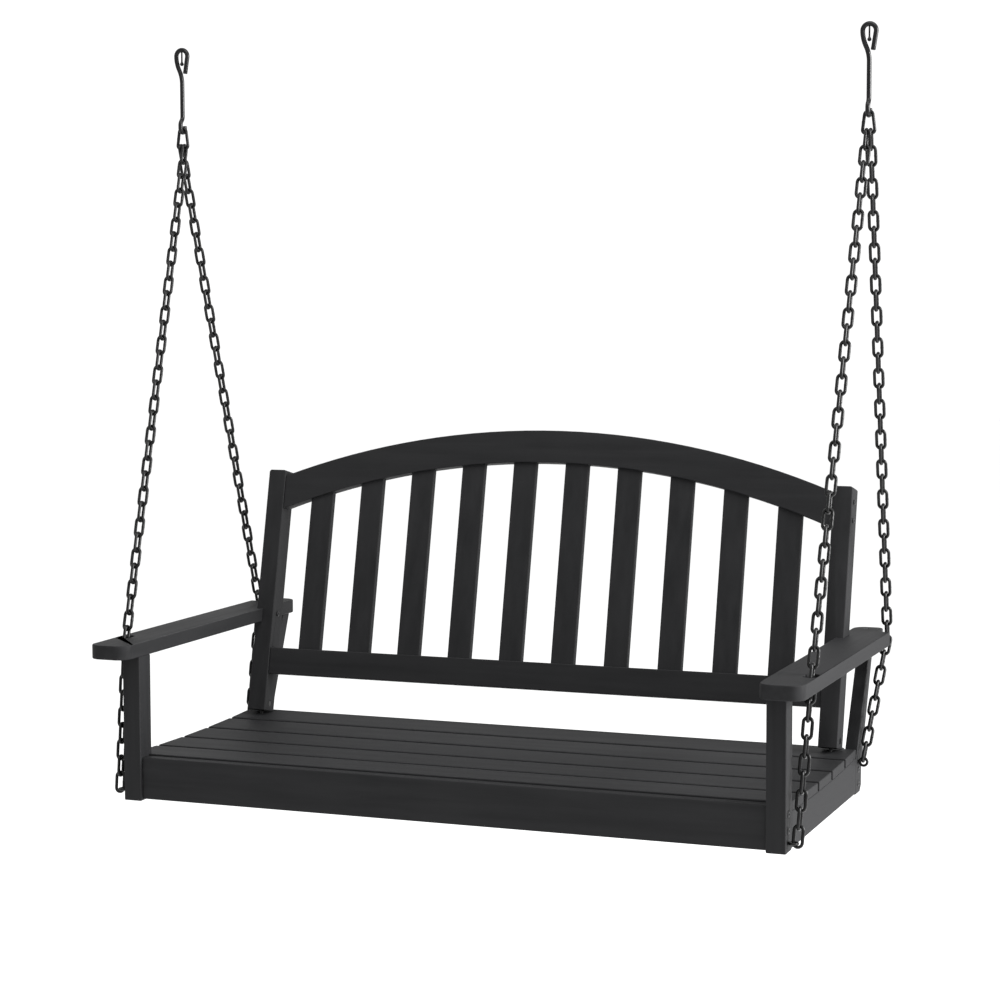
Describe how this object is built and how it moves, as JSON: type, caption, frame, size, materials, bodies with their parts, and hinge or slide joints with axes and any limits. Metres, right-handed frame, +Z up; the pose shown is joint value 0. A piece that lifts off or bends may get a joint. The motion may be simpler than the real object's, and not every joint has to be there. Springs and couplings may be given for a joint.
{
  "type": "hanging porch swing",
  "caption": "Slatted hanging bench with armrests and an arched slatted back, hung on link chains from a hook at either side.",
  "frame": {"origin": "centre of the bench's plan on the level of the feet, which is also the lowest point", "axes": "+X across the bench to the right-hand armrest seen from the front, -Y to the front of the seat, +Z up to the hooks"},
  "size_m": [1.274, 0.655, 1.291],
  "materials": {
    "black_paint": "satin charcoal black paint over planed wood",
    "black_steel": "semi-gloss black coating on steel wire and screw heads",
    "beech": "plain beech of the hidden dowels"
  },
  "bodies": {
    "hooks": {"hook_left": "black_steel", "hook_right": "black_steel"},
    "link_left": {"top_link_left": "black_steel"},
    "link_right": {"top_link_right": "black_steel"},
    "chains_left": {"chain_front_left": "black_steel", "chain_rear_left": "black_steel"},
    "chains_right": {"chain_front_right": "black_steel", "chain_rear_right": "black_steel"},
    "bench": {"armrest_left": "black_paint", "armrest_right": "black_paint", "front_leg_left": "black_paint", "front_leg_right": "black_paint", "arm_support_left": "black_paint", "arm_support_right": "black_paint", "back_post_left": "black_paint", "back_post_right": "black_paint", "front_apron": "black_paint", "rear_apron": "black_paint", "side_apron_left": "black_paint", "side_apron_right": "black_paint", "back_bearer": "black_paint", "seat_support_left": "black_paint", "seat_support_right": "black_paint", "seat_cleat_left": "black_paint", "seat_cleat_right": "black_paint", "seat_slat_1": "black_paint", "seat_slat_2": "black_paint", "seat_slat_3": "black_paint", "seat_slat_4": "black_paint", "seat_slat_5": "black_paint", "back_slat_1": "black_paint", "back_slat_2": "black_paint", "back_slat_3": "black_paint", "back_slat_4": "black_paint", "back_slat_5": "black_paint", "back_slat_6": "black_paint", "back_slat_7": "black_paint", "back_slat_8": "black_paint", "back_slat_9": "black_paint", "back_slat_10": "black_paint", "top_rail": "black_paint", "bottom_rail": "black_paint", "stay_front_left": "black_steel", "stay_front_right": "black_steel", "stay_rear_left": "black_steel", "stay_rear_right": "black_steel", "screw_eyes": "black_steel", "frame_bolts": "black_steel", "post_bolts": "black_steel", "arm_screws": "black_steel", "rail_screws": "black_steel", "slat_screws": "black_steel", "barrel_nuts": "black_steel", "dowels": "beech"}
  },
  "joints": [
    {"name": "swing", "type": "hinge", "parent": "hooks", "child": "link_left", "pos_m": [-0.622, 0.0445, 1.149], "axis": [1, 0, 0], "range_deg": [-25, 25]},
    {"name": "swing_right", "type": "hinge", "parent": "hooks", "child": "link_right", "pos_m": [0.622, 0.0445, 1.149], "axis": [1, 0, 0], "range_deg": [-25, 25]},
    {"name": "sway", "type": "hinge", "parent": "link_left", "child": "chains_left", "pos_m": [-0.622, 0.0445, 1.1125], "axis": [0, 1, 0], "range_deg": [-4, 4]},
    {"name": "sway_right", "type": "hinge", "parent": "link_right", "child": "chains_right", "pos_m": [0.622, 0.0445, 1.1125], "axis": [0, 1, 0], "range_deg": [-4, 4]},
    {"name": "level", "type": "hinge", "parent": "chains_left", "child": "bench", "pos_m": [-0.603, 0.0445, 0.2585], "axis": [0, 1, 0], "range_deg": [-4.2, 4.2]}
  ],
  "couplings": [
    {"joint": "swing_right", "follows": "swing", "ratio": 1},
    {"joint": "sway_right", "follows": "sway", "ratio": 1},
    {"joint": "level", "follows": "sway", "ratio": -1.0315}
  ]
}
